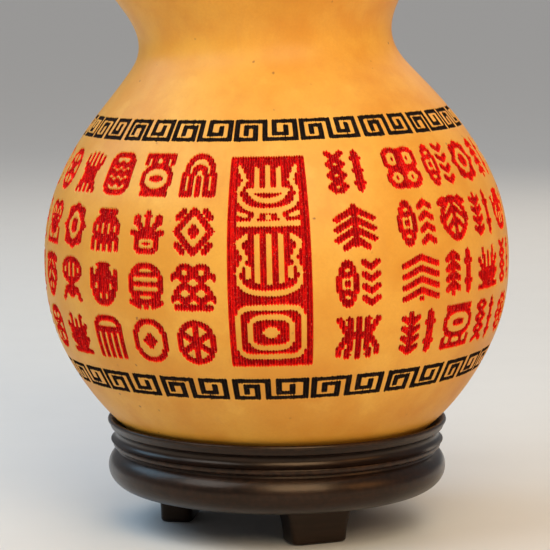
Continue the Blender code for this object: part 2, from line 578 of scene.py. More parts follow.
class Ornament(Enum):
    """Small ornaments, each drawn on its right half and mirrored.

    Places are shares of half the width and half the height. A line runs between two places, and
    an oval has its middle and its two radii.
    """

    SHEAF = (
        Line(0, -1, 0, 0.7), Line(0.5, -1, 0.36, -0.2), Line(0.36, -0.1, 0.52, 0.62),
        Line(1, -1, 0.6, -0.3), Line(0.55, -0.2, 1, 0.5), Line(0, -0.2, 0.62, -0.2),
        dot(0, 0.86, 0.2, 0.24), dot(0.56, 0.82, 0.2, 0.24), dot(1.02, 0.7, 0.16, 0.24),
    )  # fmt: skip
    POT = (
        Loop(0, -0.64, 0.66, 0.36, 4), dot(0, -0.64, 0.28, 0.1), Line(0, -0.3, 0, 0.5),
        dot(0, 0.72, 0.26, 0.3), Line(0.08, -0.25, 0.6, 0.3), dot(0.76, 0.5, 0.26, 0.32),
        Line(0.2, -0.24, 1.0, -0.1),
    )  # fmt: skip
    TRELLIS = (
        Loop(0, 0, 1.0, 1.0, 6), Line(0, 1, 1, 0, 0.7), Line(0, 0, 0.9, 0.9, 0.7),
        Line(0, 0, 0.9, -0.9, 0.7), Line(0, -1, 1, 0, 0.7),
    )  # fmt: skip
    LEAF = (
        Loop(0, 0, 0.98, 1.04, 1.5), Line(0, -1, 0, 1), Line(0, -0.6, 0.75, 0.0, 0.85),
        Line(0, 0.0, 0.6, 0.5, 0.85), Line(0.62, -1, 1.0, -0.8),
    )  # fmt: skip
    COMB = (
        arch(0, 0.3, 1.0, 0.7, 3), Line(0, 0.42, 1, 0.42), Line(0, 0.42, 0, -1),
        Line(0.5, 0.42, 0.5, -1), Line(1, 0.4, 1, -1),
    )  # fmt: skip
    HIVE = (
        Loop(0, -0.1, 1.0, 0.9, 2.3), Line(0, 0.36, 0.9, 0.36, 0.85),
        Line(0, -0.1, 1.0, -0.1, 0.85), Line(0, -0.56, 0.9, -0.56, 0.85),
        Line(0, 0.8, 0, 1.05, 1.2), Line(0.5, 1.0, 0.98, 0.8),
    )  # fmt: skip
    CHEVRONS = (
        *(Line(0, y, 1, y - 0.38) for y in (1.0, 0.46, -0.08, -0.62)),
        dot(0, -1.04, 0.22, 0.16, 1),
    )
    LANTERN = (
        Loop(0, 0.0, 1.0, 0.62), Loop(0, 0.0, 0.5, 0.62), Line(0, 0.62, 0, -1),
        Line(0, 0.84, 0.62, 0.84, 1.1), Line(0.5, -0.66, 0.5, -1), Line(0.95, -0.5, 1.0, -0.98),
    )  # fmt: skip
    FRINGE = (
        Line(0, 0.98, 1, 0.98), cup(0, 0.92, 0.5, 0.78), cup(1.0, 0.92, 0.5, 0.78),
        Line(0, 0.1, 0, -1), Line(0.5, 0.8, 0.5, -1), Line(1, 0.1, 1, -1),
        Line(0.5, -0.35, 1, -0.35, 0.8),
    )  # fmt: skip
    COIN = (Loop(0, 0, 1.0, 1.0, 2.4), dot(0, 0, 0.5, 0.5, 1))
    WHIRL = (Loop(0, 0, 1.0, 1.0, 2.6), Whirl(7, 3.0, 0.3, 1.0), dot(0, 0, 0.28, 0.28))
    ASTER = (Petals(10, 0.86, 0.14), dot(0, 0, 0.4, 0.4))
    LOZENGES = (
        Loop(0, 0, 1.06, 1.06, 1), dot(0, 0, 0.42, 0.42, 1), Line(0.66, 1, 1, 0.66),
        Line(0.66, -1, 1, -0.66),
    )  # fmt: skip
    CALABASH = (
        dot(0, 0.56, 0.5, 0.42), Loop(0, -0.46, 1.0, 0.54), Line(0, -0.1, 0, -0.9),
        Line(0, 0.1, 0, 0.3), Line(0.5, -0.2, 0.5, -0.75), Line(0.95, 1.0, 0.62, 0.5),
    )  # fmt: skip
    SHELL = (
        Loop(0, -0.85, 1.08, 1.85, 2.4, 8, 172), Line(0, -0.85, 0, 0.95),
        Line(0.2, -0.6, 0.52, 0.85), Line(0.3, -0.75, 0.9, 0.1), dot(0, -0.9, 0.6, 0.16),
    )  # fmt: skip
    URN = (
        Line(0, 1, 0.95, 1), Line(0.42, 0.95, 0.42, 0.5), Loop(0, -0.22, 1.0, 0.66, 2.4),
        Line(0, -1, 0.9, -1), dot(0, -0.22, 0.48, 0.2), Line(1.0, 1, 0.96, 0.6),
    )  # fmt: skip
    WHEEL = (
        Loop(0, 0, 1.0, 1.0, 2.2), Line(0, -1, 0, 1), Line(0, 0, 0.9, 0.5), Line(0, 0, 0.9, -0.5),
        dot(0, 0, 0.3, 0.3),
    )  # fmt: skip
    RIPPLES = (
        Loop(0, 0, 1.0, 1.0, 4), Wave(0.46, 0.08, 0.66, 0.98), Wave(0.0, 0.08, 0.66, 0.98),
        Wave(-0.48, 0.08, 0.66, 0.98),
    )  # fmt: skip
    SCALES = (
        cup(0, 0.98, 0.5, 0.5), cup(1.0, 0.98, 0.5, 0.5), Line(0, 0.98, 1, 0.98),
        cup(0.5, 0.45, 0.5, 0.5), cup(0, -0.08, 0.5, 0.5), cup(1.0, -0.08, 0.5, 0.5),
        cup(0.5, -0.6, 0.42, 0.42),
    )  # fmt: skip
    MOTH = (
        Loop(0.54, 0.48, 0.46, 0.5, 2.6), Loop(0.5, -0.54, 0.46, 0.44, 2.4), Line(0, 0.9, 0, -1),
        dot(0.54, 0.48, 0.1, 0.12), dot(0.5, -0.54, 0.1, 0.12),
    )  # fmt: skip
    ARCHES = (
        arch(0, -1.0, 1.0, 2.0, 2.6), arch(0, -1.0, 0.5, 1.4, 2.6), Line(0, -1, 0, -0.2),
        Line(0.5, -1, 1, -1),
    )  # fmt: skip
    STAR = (Loop(0, 0, 1.1, 1.1, 1), Loop(0, 0, 0.84, 0.84, 8), dot(0, 0, 0.4, 0.4))
    WHEAT = (
        Line(0, -1, 0, 0.8, 1.1),
        *(Line(0.1, y, 0.95, y + 0.45) for y in (-0.85, -0.35, 0.15)),
        Line(0.1, 0.64, 0.6, 0.98),
    )
    PALMETTE = (
        dot(0, -1.0, 0.26, 1.95, 1.6), Line(0.2, -0.9, 0.58, 0.85, 1.05),
        Line(0.25, -0.9, 0.98, 0.4, 1.05), Line(0.3, -0.95, 1.0, -0.3, 1.05), Line(0, -1, 1, -1),
    )  # fmt: skip
    GINKGO = (
        arch(0.5, 0.38, 0.5, 0.6), Line(0, 0.38, 0, -1), Line(0.5, 0.5, 0.16, -0.3),
        Line(1.0, 0.38, 0.4, -0.5), Line(0.4, -0.98, 1.0, -0.98), Line(1.0, -0.4, 1.0, -0.98),
    )  # fmt: skip

    def covers(self, sheet: Sheet) -> np.ndarray:
        """True inside any of the ornament's strokes or their mirror images."""
        return strokes_cover(self.value, replace(sheet, x=np.abs(sheet.x)))


class Duet(Enum):
    """Ornaments of two unlike halves, side by side."""

    BRAID = (
        *path((-1, 1), (-0.2, 0.4), (-1, -0.2), (-0.2, -0.8), (-0.45, -1)),
        *path((-0.2, 1), (-1, 0.4), (-0.2, -0.2), (-1, -0.8), (-0.75, -1)),
        *(dot(0.64, y, 0.4, 0.34, 1) for y in (0.66, 0.0, -0.66)),
        Line(0.64, 1, 0.64, -1),
    )
    FERN = (
        Line(-0.57, -1, -0.57, 1),
        *(Line(-0.57, y, x, y + 0.3) for x in (-1, -0.14) for y in (0.5, 0.0, -0.5, -1.0)),
        *(dot(0.64, y, 0.38, 0.5, 1) for y in (0.5, -0.5)),
        Line(0.64, 1, 0.64, -1),
    )
    POD = (
        Loop(-0.57, 0, 0.43, 1.02, 1.5),
        *(dot(-0.57, y, 0.13, 0.2) for y in (0.42, 0.0, -0.42)),
        *(Line(x, y, 0.64, y - 0.26) for x in (0.28, 1) for y in (1.0, 0.42, -0.16, -0.74)),
    )

    def covers(self, sheet: Sheet) -> np.ndarray:
        """True inside any of the ornament's strokes."""
        return strokes_cover(self.value, sheet)


# ---------------------------------------------------------------- carving


@dataclass(frozen=True)
class Cutter:
    """A rotary cutter that carves upright grooves side by side, each switched on and off.

    Turned is the azimuth of the panel's middle. Slot is half a groove's width at its end, in
    columns. Tip is the length of a groove's pointed end, and overrun how far it passes the drawn
    edge. The cutter sinks in over plunge. Over lift it comes out by lift_share of its depth, and
    by the rest within lift_step. Between two grooves the depth is less by the share ridge.
    Waver, stray and chatter are the unevenness of the grooves' ends, of the depth from groove to
    groove and of the depth along one. Fine is the step of a canvas.
    """

    columns: int = 528
    turned: float = math.radians(-1.6)
    groove_width: float = 0.655
    slot: float = 0.515
    tip: float = 0.40
    overrun: float = 0.17
    depth: float = 0.46
    least_depth: float = 0.1
    plunge: float = 0.12
    lift: float = 0.50
    lift_share: float = 0.65
    lift_step: float = 0.06
    margin: float = 0.01
    ridge: float = 0.42
    waver: float = 0.05
    stray: float = 0.10
    chatter: float = 0.13
    fine: float = 0.05
    seed: int = 7

    def azimuth(self, column: np.ndarray) -> np.ndarray:
        """The angle of a place counted in groove columns from the panel's middle."""
        return self.turned + np.asarray(column) * math.tau / self.columns

    def retreat(self, aside: np.ndarray) -> np.ndarray:
        """How far a groove's end lies behind the drawn edge, at a distance aside in columns."""
        share = np.clip(np.abs(aside) / self.slot, 0.0, 1.0)
        return self.tip * share**1.5 - self.overrun


@dataclass
class Canvas:
    """Where the cutter is on: a flag for each fine step up and each groove column."""

    heights: np.ndarray
    first: int
    columns: int
    groove_width: float
    on: np.ndarray = field(init=False)

    def __post_init__(self) -> None:
        """Starts with the cutter off everywhere."""
        self.on = np.zeros((len(self.heights), self.columns), bool)

    def span(self, middle: float, reach: float) -> slice:
        """The columns near a middle column.

        Args:
            middle: the middle column.
            reach: how many millimetres the columns may lie from it.

        Returns:
            The columns, counted from the canvas's first one.
        """
        half = reach / self.groove_width
        low = max(math.floor(middle - half) - self.first, 0)
        high = min(math.ceil(middle + half) - self.first, self.columns)
        return slice(low, high)

    def across(self, part: slice, middle: float) -> np.ndarray:
        """Distances of groove centres to the right of a middle column."""
        centres = self.first + np.arange(part.start, part.stop) + 0.5
        return (centres - middle)[None, :] * self.groove_width

    def runs(self, step: float) -> list[np.ndarray]:
        """How far each place lies from the ends of its cut, along its column.

        A cut ends half a row past its last row that is on. Off a cut, the nearer end counts.

        Args:
            step: the height of one row.

        Returns:
            Distances below the cut's upper end and above its lower end, both negative outside.
        """
        count = len(self.heights)
        index = np.arange(count)[:, None]
        never = count * 9
        ends = []
        for inside, sign in ((self.on, 1.0), (~self.on, -1.0)):
            over = np.maximum.accumulate(np.where(~inside, index, -never), axis=0)
            under = np.minimum.accumulate(np.where(~inside, index, never)[::-1], axis=0)[::-1]
            ends.append([sign * (index - over - 0.5) * step, sign * (under - index - 0.5) * step])
        near = np.maximum(*ends[1])
        return [np.where(self.on, end, near) for end in ends[0]]


@dataclass
class CarvedShell:
    """A thin closed shell in the belly's channel: carved outside, plain inside.

    Its outer face is the skin's surface less the cut. Rows and columns of points are close where
    something is carved and far apart on bare skin. Shares are the places across a groove column
    that get points. A canvas row is one fine step of the cutter.
    """

    form: GourdForm
    cutter: Cutter
    low: float
    high: float
    first: int
    last: int
    row_step: int
    bare_step: int = 20
    busy_reach: int = 8
    shares: tuple[float, ...] = (-0.5, -0.25, 0.0, 0.25)
    thickness: float = 1.0
    back_pitch: float = 12.0
    cut_limit: float = 0.25
    waver_reach: float = 1.0

    @property
    def ring(self) -> bool:
        """True if the shell goes right round."""
        return self.last - self.first == self.cutter.columns

    def canvas(self) -> Canvas:
        """Spreads a blank canvas over the whole shell, from its top edge down.

        Returns:
            The canvas, with the cutter off.
        """
        steps = round((self.high - self.low) / self.cutter.fine)
        heights = np.linspace(self.high, self.low, steps + 1)
        return Canvas(heights, self.first, self.last - self.first, self.cutter.groove_width)

    def rows(self, canvas: Canvas) -> np.ndarray:
        """Picks the canvas rows that get points.

        Args:
            canvas: where the cutter is on.

        Returns:
            Row numbers from the top down.
        """
        busy = canvas.on.any(axis=1)
        near = np.convolve(busy, np.ones(2 * self.busy_reach + 1), "same") > 0
        rows, at = [0], 0
        while at < len(busy) - 1:
            ahead = near[at : at + self.bare_step + 1].any()
            at = min(at + (self.row_step if ahead else self.bare_step), len(busy) - 1)
            rows.append(at)
        return np.array(rows)

    def samples(self, canvas: Canvas) -> tuple[np.ndarray, np.ndarray]:
        """Picks the lines of points down the shell.

        Args:
            canvas: where the cutter is on.

        Returns:
            The column of each line, and its place across that column.
        """
        busy = canvas.on.any(axis=0)
        near = busy | np.roll(busy, 1) | np.roll(busy, -1)
        columns, aside = [], []
        for column in range(canvas.columns):
            places = self.shares if near[column] else self.shares[:1]
            columns.extend([column] * len(places))
            aside.extend(places)
        if not self.ring:
            columns.append(canvas.columns - 1)
            aside.append(0.5)
        return np.array(columns), np.array(aside)

    def ends(
        self, canvas: Canvas, rows: np.ndarray, columns: np.ndarray, aside: np.ndarray
    ) -> list[np.ndarray]:
        """How far inside its groove each point lies; a shared line takes the deeper groove.

        Args:
            canvas: where the cutter is on.
            rows: the canvas row of each row of points.
            columns: the column of each line of points.
            aside: each line's place across its column.

        Returns:
            Distances below the groove's upper end and above its lower end, negative outside.
        """
        dice = np.random.default_rng(self.cutter.seed)
        waver = dice.normal(0.0, self.cutter.waver, canvas.columns)[None, :]
        shared = (np.abs(aside + 0.5) < TINY) & ((columns > 0) | self.ring)
        found = []
        for run in canvas.runs(self.cutter.fine):
            run = run[rows]
            run = run + waver * (np.abs(run) < self.waver_reach)
            own = run[:, columns] - self.cutter.retreat(aside)[None, :]
            beside = run[:, (columns - 1) % canvas.columns] - self.cutter.retreat(np.array([0.5]))
            found.append(np.where(shared[None, :], np.maximum(own, beside), own))
        return found

    def relief(
        self, upper: np.ndarray, lower: np.ndarray, aside: np.ndarray, columns: np.ndarray
    ) -> np.ndarray:
        """The cut's depth.

        The cutter plunges at the upper end and lifts out slowly at the lower one. The depth is full
        in a groove's middle, less on the ridge between two, and chattered along the way.

        Args:
            upper: distances below the groove's upper end.
            lower: distances above its lower end.
            aside: each line's place across its column.
            columns: the column of each line of points.

        Returns:
            Depths in millimetres.
        """
        cutter = self.cutter
        dice = np.random.default_rng(cutter.seed + 1)
        level = dice.normal(1.0, cutter.stray, columns.max() + 1)[columns]
        rough = dice.normal(0.0, 1.0, upper.shape)
        rough = rough + np.roll(rough, 1, axis=0) + np.roll(rough, 1, axis=1)
        rough = rough / 1.8  # brings the spread of three summed dice back to about one
        across = 1.0 - cutter.ridge * (2.0 * np.abs(aside)) ** 2
        full = cutter.depth * (across * level)[None, :] * (1.0 + cutter.chatter * rough)
        down = smooth_step(upper, -cutter.margin, cutter.plunge)
        step = smooth_step(lower, -cutter.margin, cutter.lift_step)
        slow = smooth_step(lower, 0.0, cutter.lift)
        out = (1.0 - cutter.lift_share) * step + cutter.lift_share * slow
        return np.maximum(full, cutter.least_depth) * down * out

    def faces(self, down: int, across: int, backs: int) -> list[np.ndarray]:
        """Faces of the outer grid, of the inner one behind it, and of the walls that join them.

        Args:
            down: rows of the outer grid.
            across: columns of both grids.
            backs: rows of the inner grid.

        Returns:
            Arrays of point numbers, each with one face in a row.
        """
        base = down * across
        j = np.arange(across if self.ring else across - 1)
        right = (j + 1) % across
        bottom, deep = (down - 1) * across, base + (backs - 1) * across
        faces = [
            grid_quads(down, across, 0, self.ring),
            grid_quads(backs, across, base, self.ring, inward=True),
            np.stack([j, right, base + right, base + j], axis=1),
            np.stack([bottom + j, deep + j, deep + right, bottom + right], axis=1),
        ]
        if not self.ring:
            out, back = np.arange(down) * across, base + np.arange(backs) * across
            faces.append(np.concatenate([back, out[::-1]])[None, :])
            faces.append(np.concatenate([out, back[::-1]])[None, :] + across - 1)
        return faces

    def build(self, name: str, canvas: Canvas) -> bpy.types.Object:
        """Makes the shell from a drawn canvas.

        Args:
            name: the piece's name.
            canvas: where the cutter is on.

        Returns:
            The shell, with attributes cut (millimetres inside a groove) and floor (0 to 1 of the
            cutter's full depth).
        """
        rows = self.rows(canvas)
        columns, aside = self.samples(canvas)
        azimuth = self.cutter.azimuth(self.first + columns + 0.5 + aside)[None, :]
        upper, lower = self.ends(canvas, rows, columns, aside)
        depth = self.relief(upper, lower, aside, columns)
        depth[[0, -1]] = 0.0
        if not self.ring:
            depth[:, [0, -1]] = 0.0
        outer = self.form.surface(azimuth, canvas.heights[rows][:, None], depth)
        backs = max(round((self.high - self.low) / self.back_pitch), 1) + 1
        back_arcs = np.linspace(self.high, self.low, backs)[:, None]
        inner = self.form.surface(azimuth, back_arcs, self.thickness)
        places = np.concatenate([outer.reshape(-1, 3), inner.reshape(-1, 3)])
        blank = np.zeros(backs * len(columns))
        cut = np.clip(np.minimum(upper, lower), -self.cut_limit, self.cut_limit)
        layers = {
            "cut": np.concatenate([cut.ravel(), blank - 1.0]),
            "floor": np.concatenate([(depth / self.cutter.depth).ravel(), blank]),
        }
        return make_piece(name, places, self.faces(len(rows), len(columns), backs), layers)


# ---------------------------------------------------------------- node wiring

Socket = bpy.types.NodeSocket
Value = float | tuple[float, ...] | Socket
COLOUR, FLOAT, VECTOR = "NodeSocketColor", "NodeSocketFloat", "NodeSocketVector"


class Wiring:
    """Adds nodes to one node tree and joins them."""

    def __init__(self, tree: bpy.types.NodeTree) -> None:
        """Keeps the tree to work on."""
        self.tree = tree

    def put(self, socket: Socket, value: Value) -> None:
        """Joins a socket to another, or sets its own value.

        Args:
            socket: the socket that takes the value.
            value: another socket, a number, a vector or a colour.
        """
        if isinstance(value, bpy.types.NodeSocket):
            self.tree.links.new(value, socket)
        elif socket.type == "RGBA" and isinstance(value, tuple) and len(value) == 3:
            socket.default_value = (*value, 1.0)
        else:
            socket.default_value = value

    def feed(self, node: bpy.types.Node, values: dict[str | int, Value]) -> None:
        """Puts a value into each named input of a node."""
        for key, value in values.items():
            self.put(node.inputs[key], value)

    def add(self, kind: str, inputs: dict[str | int, Value], **settings: object) -> bpy.types.Node:
        """Adds a node.

        Args:
            kind: its type.
            inputs: values by the input's name or number.
            settings: values by the node's own property.

        Returns:
            The new node.
        """
        node = self.tree.nodes.new(kind)
        for key, value in settings.items():
            setattr(node, key, value)
        self.feed(node, inputs)
        return node

    def maths(self, operation: str, a: Value, b: Value) -> Socket:
        """The result of one Math node."""
        return self.add("ShaderNodeMath", {0: a, 1: b}, operation=operation).outputs[0]

    def times(self, a: Value, b: Value) -> Socket:
        """The product of two values."""
        return self.maths("MULTIPLY", a, b)

    def plus(self, a: Value, b: Value) -> Socket:
        """The sum of two values."""
        return self.maths("ADD", a, b)

    def sway(self, noise: Socket, size: float) -> Socket:
        """A noise moved to lie evenly about zero, times a size."""
        return self.times(self.maths("SUBTRACT", noise, 0.5), size)

    def ramp(
        self, value: Value, low: float, high: float, start: float = 0.0, end: float = 1.0
    ) -> Socket:
        """A smooth step of a value from start at low to end at high.

        Args:
            value: what the step follows.
            low: where the step begins.
            high: where it ends.
            start: the result up to low.
            end: the result from high on.

        Returns:
            The step's output.
        """
        inputs = {
            "Value": value, "From Min": low, "From Max": high, "To Min": start, "To Max": end,
        }  # fmt: skip
        node = self.add("ShaderNodeMapRange", inputs, interpolation_type="SMOOTHSTEP")
        return node.outputs["Result"]

    def blend(self, share: Value, a: Value, b: Value) -> Socket:
        """Two colours mixed by a share."""
        return self.add("ShaderNodeMix", {0: share, 6: a, 7: b}, data_type="RGBA").outputs[2]

    def between(self, share: Value, a: Value, b: Value) -> Socket:
        """Two values mixed by a share."""
        return self.add("ShaderNodeMix", {0: share, 2: a, 3: b}).outputs[0]

    def vector(self, operation: str, a: Value, b: Value) -> Socket:
        """The result of one Vector Math node."""
        return self.add("ShaderNodeVectorMath", {0: a, 1: b}, operation=operation).outputs[0]

    def noise(
        self, place: Socket, scale: float, detail: float, stretch: Point = (1, 1, 1)
    ) -> Socket:
        """Noise, drawn out along an axis where stretch is small.

        Args:
            place: where to read it.
            scale: waves to a metre.
            detail: how many finer layers it has.
            stretch: the scale along each axis.

        Returns:
            The noise's value.
        """
        inputs = {
            "Vector": self.vector("MULTIPLY", place, stretch),
            "Scale": scale, "Detail": detail, "Roughness": 0.55,
        }  # fmt: skip
        return self.add("ShaderNodeTexNoise", inputs).outputs["Fac"]

    def attribute(self, name: str) -> Socket:
        """A point attribute's value."""
        return self.add("ShaderNodeAttribute", {}, attribute_name=name).outputs["Fac"]

    def place(self) -> Socket:
        """The place on the object, in metres."""
        return self.add("ShaderNodeTexCoord", {}).outputs["Object"]

    def bump(self, height: Value, distance: float) -> Socket:
        """A normal from a height of 0 to 1 and the distance that 1 stands for."""
        return self.add("ShaderNodeBump", {"Height": height, "Distance": distance}).outputs[0]


def new_group(
    name: str, inputs: dict[str, str], outputs: dict[str, str]
) -> tuple[Wiring, dict[str, Socket], bpy.types.Node]:
    """A new shader node group with named sockets.

    Args:
        name: the group's name.
        inputs: socket type by name, for what goes in.
        outputs: socket type by name, for what comes out.

    Returns:
        The wiring of its tree, its inputs by name, and the node that takes its outputs.
    """
    tree = bpy.data.node_groups.new(name, "ShaderNodeTree")
    for title, kind in inputs.items():
        tree.interface.new_socket(title, in_out="INPUT", socket_type=kind)
    for title, kind in outputs.items():
        tree.interface.new_socket(title, in_out="OUTPUT", socket_type=kind)
    source = tree.nodes.new("NodeGroupInput")
    target = tree.nodes.new("NodeGroupOutput")
    return Wiring(tree), {title: source.outputs[title] for title in inputs}, target


def new_material(name: str) -> tuple[bpy.types.Material, Wiring, bpy.types.Node]:
    """An empty node material.

    Args:
        name: the material's name.

    Returns:
        The material, the wiring of its tree, and its Principled shader.
    """
    material = bpy.data.materials.new(name)
    material.use_nodes = True
    return material, Wiring(material.node_tree), material.node_tree.nodes["Principled BSDF"]


# ---------------------------------------------------------------- finishes


@dataclass(frozen=True)
class RindColours:
    """The colours of dry rind."""

    honey: Colour = (0.755, 0.360, 0.045)
    amber: Colour = (0.68, 0.284, 0.026)
    russet: Colour = (0.63, 0.225, 0.012)
    straw: Colour = (0.84, 0.45, 0.075)
    streak: Colour = (0.60, 0.24, 0.04)
    grain: Colour = (0.50, 0.20, 0.03)
    fleck: Colour = (0.24, 0.075, 0.015)


class SkinGroups:
    """The node groups that the gourd's materials share: the bare rind, and the paint in a cut."""

    def __init__(self) -> None:
        """Builds both groups."""
        self.rind = self.make_rind(RindColours())
        self.paint = self.make_paint()

    def make_rind(self, hue: RindColours) -> bpy.types.NodeTree:
        """Waxed dry rind: warm clouds, faint streaks up the fruit, pores and small brown flecks.

        Args:
            hue: the rind's colours.

        Returns:
            The group, which puts out a colour, a roughness and a height.
        """
        wire, given, out = new_group(
            "dry_rind",
            {"Place": VECTOR},
            {"Colour": COLOUR, "Roughness": FLOAT, "Height": FLOAT},
        )
        place = given["Place"]
        clouds = wire.noise(place, 38.0, 3.0)
        patches = wire.noise(place, 120.0, 4.0)
        streaks = wire.noise(place, 420.0, 3.0, (1.0, 1.0, 0.12))
        grain = wire.noise(place, 1700.0, 3.0)
        colour = wire.blend(wire.ramp(clouds, 0.36, 0.66), hue.honey, hue.amber)
        colour = wire.blend(wire.ramp(patches, 0.45, 0.72, 0.0, 0.42), colour, hue.russet)
        colour = wire.blend(wire.ramp(patches, 0.28, 0.44, 0.30, 0.0), colour, hue.straw)
        colour = wire.blend(wire.ramp(streaks, 0.52, 0.74, 0.0, 0.16), colour, hue.streak)
        fleck = self.flecks(wire, place)
        colour = wire.blend(fleck, colour, hue.fleck)
        colour = wire.blend(wire.ramp(grain, 0.35, 0.65, 0.0, 0.10), colour, hue.grain)
        height = wire.plus(wire.times(grain, 0.35), wire.times(streaks, 0.5))
        height = wire.maths("SUBTRACT", height, wire.times(fleck, 0.4))
        roughness = wire.ramp(patches, 0.3, 0.7, 0.48, 0.58)
        wire.feed(out, {"Colour": colour, "Roughness": roughness, "Height": height})
        return wire.tree

    def flecks(self, wire: Wiring, place: Socket) -> Socket:
        """Small ragged spots at the middles of some of the cells of a shaken cell pattern.

        Args:
            wire: the wiring to add them to.
            place: where to read them.

        Returns:
            1 on a spot and 0 off it.
        """
        shake = wire.add("ShaderNodeTexNoise", {"Vector": place, "Scale": 1500.0, "Detail": 2.0})
        shake = wire.vector("MULTIPLY", shake.outputs["Color"], (0.0006, 0.0006, 0.0006))
        wander = wire.vector("ADD", place, shake)
        inputs = {"Vector": wander, "Scale": 230.0, "Randomness": 1.0}
        cells = wire.add("ShaderNodeTexVoronoi", inputs)
        chance = wire.add("ShaderNodeSeparateColor", {0: cells.outputs["Color"]}).outputs[0]
        spot = wire.ramp(cells.outputs["Distance"], 0.02, 0.11, 1.0, 0.0)
        return wire.times(spot, wire.ramp(chance, 0.62, 0.95))

    def make_paint(self) -> bpy.types.NodeTree:
        """Paint in the cut: a painted shade makes it darker the deeper the cut, it is paler on
        ridges, and it is thin and chipped where it wore, the pale chips also standing in as painted
        glints.

        Returns:
            The group, which puts out a colour, a mask, a roughness and a height.
        """
        wire, given, out = new_group(
            "cut_paint",
            {"Place": VECTOR, "Cut": FLOAT, "Floor": FLOAT, "Groove Shade And Mottle": COLOUR, "Ridge": COLOUR,
             "Chip And Glint": COLOUR, "Chip Glint Share": FLOAT},
            {"Colour": COLOUR, "Mask": FLOAT, "Roughness": FLOAT, "Height": FLOAT},
        )  # fmt: skip
        place = given["Place"]
        fuzz = wire.noise(place, 2600.0, 2.0)
        fibre = wire.noise(place, 2400.0, 3.0, (1.0, 1.0, 0.16))
        grit = wire.noise(place, 3600.0, 1.0)
        cloud = wire.noise(place, 520.0, 2.0)
        mask = wire.ramp(wire.plus(given["Cut"], wire.sway(fuzz, 0.22)), -0.05, 0.03)
        low = wire.times(given["Floor"], wire.ramp(fibre, 0.3, 0.7, 0.72, 1.2))
        # Darker the deeper the cut: painted shade in the grooves, paler on the shallow ridges; the
        # clouds below add random darker tone of the same colour.
        colour = wire.blend(wire.ramp(low, 0.45, 1.0), given["Ridge"], given["Groove Shade And Mottle"])
        colour = wire.blend(wire.ramp(cloud, 0.35, 0.7, 0.0, 0.34), colour, given["Groove Shade And Mottle"])
        # Pale chips where the paint wore; in the red they also stand in as painted glints on the
        # ridges.
        chips_and_glints = wire.times(wire.ramp(grit, 0.66, 0.74), given["Chip Glint Share"])
        colour = wire.blend(chips_and_glints, colour, given["Chip And Glint"])
        roughness = wire.ramp(fibre, 0.3, 0.7, 0.55, 0.78)
        wire.feed(out, {"Colour": colour, "Mask": mask, "Roughness": roughness, "Height": fibre})
        return wire.tree


@dataclass(frozen=True)
class WaxedFinish:
    """What the skin's materials share: wax on bare rind, which fades as cover grows to bare."""

    coat: float = 0.58
    coat_roughness: float = 0.46
    gloss: float = 0.05
    relief: float = 0.00006
    bare: float = 1.0

    def wax(self, wire: Wiring, shader: bpy.types.Node, cover: Socket, height: Socket) -> None:
        """Sets the shader's gloss and its relief.

        Args:
            wire: the material's wiring.
            shader: its Principled shader.
            cover: 0 on bare rind and 1 where something hides it.
            height: the relief, from 0 to 1.
        """
        wire.put(shader.inputs["Coat Weight"], wire.ramp(cover, 0.0, self.bare, self.coat, 0.0))
        shader.inputs["Coat Roughness"].default_value = self.coat_roughness
        shader.inputs["Specular IOR Level"].default_value = self.gloss
        wire.put(shader.inputs["Normal"], wire.bump(height, self.relief))

    def rind(self, wire: Wiring, groups: SkinGroups) -> bpy.types.NodeOutputs:
        """Adds the rind group, read at the place on the object.

        Args:
            wire: the material's wiring.
            groups: the skin's node groups.

        Returns:
            The group's outputs.
        """
        node = wire.add("ShaderNodeGroup", {}, node_tree=groups.rind)
        wire.put(node.inputs["Place"], wire.place())
        return node.outputs


@dataclass(frozen=True)
class RindFinish(WaxedFinish):
    """Bare waxed rind, which turns to grey-brown fibre up the stalk."""

    bare: float = 0.6
    bark: Colour = (0.13, 0.068, 0.028)
    pale_bark: Colour = (0.36, 0.235, 0.12)
    grey_bark: Colour = (0.16, 0.12, 0.07)
    bark_roughness: float = 0.75
    bark_relief: float = 5.0

    def material(self, groups: SkinGroups) -> bpy.types.Material:
        """Makes the material, which reads the attribute stalk: 1 on the dry stalk.

        Args:
            groups: the skin's node groups.

        Returns:
            The material.
        """
        material, wire, shader = new_material("gourd_rind")
        place, rind = wire.place(), self.rind(wire, groups)
        fibre = wire.noise(place, 1500.0, 4.0, (1.0, 1.0, 0.10))
        patch = wire.noise(place, 320.0, 3.0)
        bark = wire.blend(wire.ramp(fibre, 0.35, 0.65), self.bark, self.pale_bark)
        bark = wire.blend(wire.ramp(patch, 0.5, 0.7, 0.0, 0.6), bark, self.grey_bark)
        ragged = wire.plus(wire.attribute("stalk"), wire.sway(patch, 0.7))
        on_stalk = wire.ramp(ragged, 0.35, 0.75)
        rough = wire.between(on_stalk, rind["Roughness"], self.bark_roughness)
        wire.put(shader.inputs["Base Color"], wire.blend(on_stalk, rind["Colour"], bark))
        wire.put(shader.inputs["Roughness"], rough)
        tall = wire.times(wire.times(fibre, on_stalk), self.bark_relief)
        self.wax(wire, shader, on_stalk, wire.plus(rind["Height"], tall))
        return material


